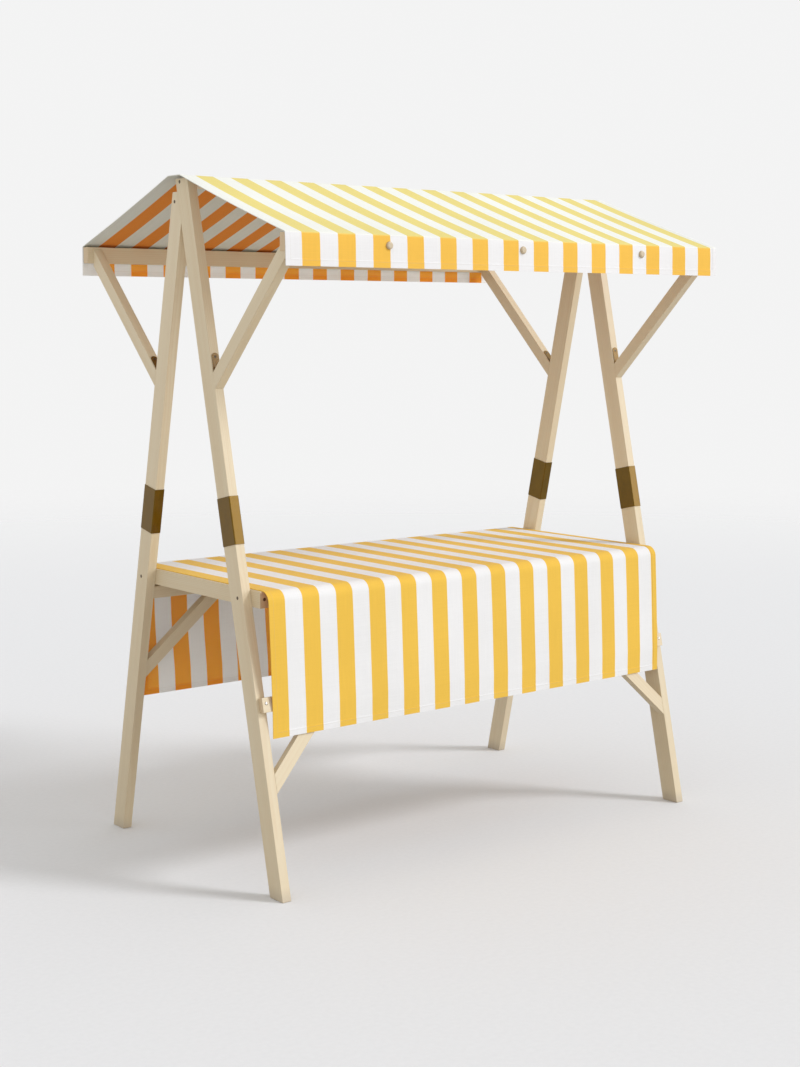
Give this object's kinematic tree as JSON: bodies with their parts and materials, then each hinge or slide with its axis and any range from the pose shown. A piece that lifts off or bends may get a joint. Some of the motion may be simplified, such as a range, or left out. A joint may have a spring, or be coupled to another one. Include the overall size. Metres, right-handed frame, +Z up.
{
  "type": "wooden market stall",
  "caption": "Free-standing wooden market stall: two leaning A-frames carry a striped gable canopy with valances and a counter under a striped cloth that drops in front and behind.",
  "frame": {"origin": "on the floor, in the middle of the stall", "axes": "+X along the length, -Y towards the customers, +Z up"},
  "size_m": [1.822, 1.229, 2.2],
  "materials": {
    "wood": "planed, unpainted",
    "striped_cloth": "woven",
    "sleeve_metal": "dull bronze",
    "bracket_metal": "dull bronze",
    "button": "satin"
  },
  "bodies": {
    "root": {"left_front_lower_leg": "wood", "left_front_upper_leg": "wood", "left_front_sleeve": "sleeve_metal", "left_front_eave_brace": "wood", "left_front_brace_bracket": "bracket_metal", "left_front_knee_brace": "wood", "left_back_lower_leg": "wood", "left_back_upper_leg": "wood", "left_back_sleeve": "sleeve_metal", "left_back_eave_brace": "wood", "left_back_brace_bracket": "bracket_metal", "left_back_knee_brace": "wood", "left_end_rail": "wood", "right_front_lower_leg": "wood", "right_front_upper_leg": "wood", "right_front_sleeve": "sleeve_metal", "right_front_eave_brace": "wood", "right_front_brace_bracket": "bracket_metal", "right_front_knee_brace": "wood", "right_back_lower_leg": "wood", "right_back_upper_leg": "wood", "right_back_sleeve": "sleeve_metal", "right_back_eave_brace": "wood", "right_back_brace_bracket": "bracket_metal", "right_back_knee_brace": "wood", "right_end_rail": "wood", "front_eave_rail": "wood", "front_table_rail": "wood", "front_valance_buttons": "button", "back_eave_rail": "wood", "back_table_rail": "wood", "back_valance_buttons": "button", "ridge_beam": "wood", "front_lower_rail": "wood", "back_rail": "wood", "table_bearers": "wood", "table_boards": "wood", "counter_cloth": "striped_cloth", "canopy": "striped_cloth"}
  },
  "joints": []
}
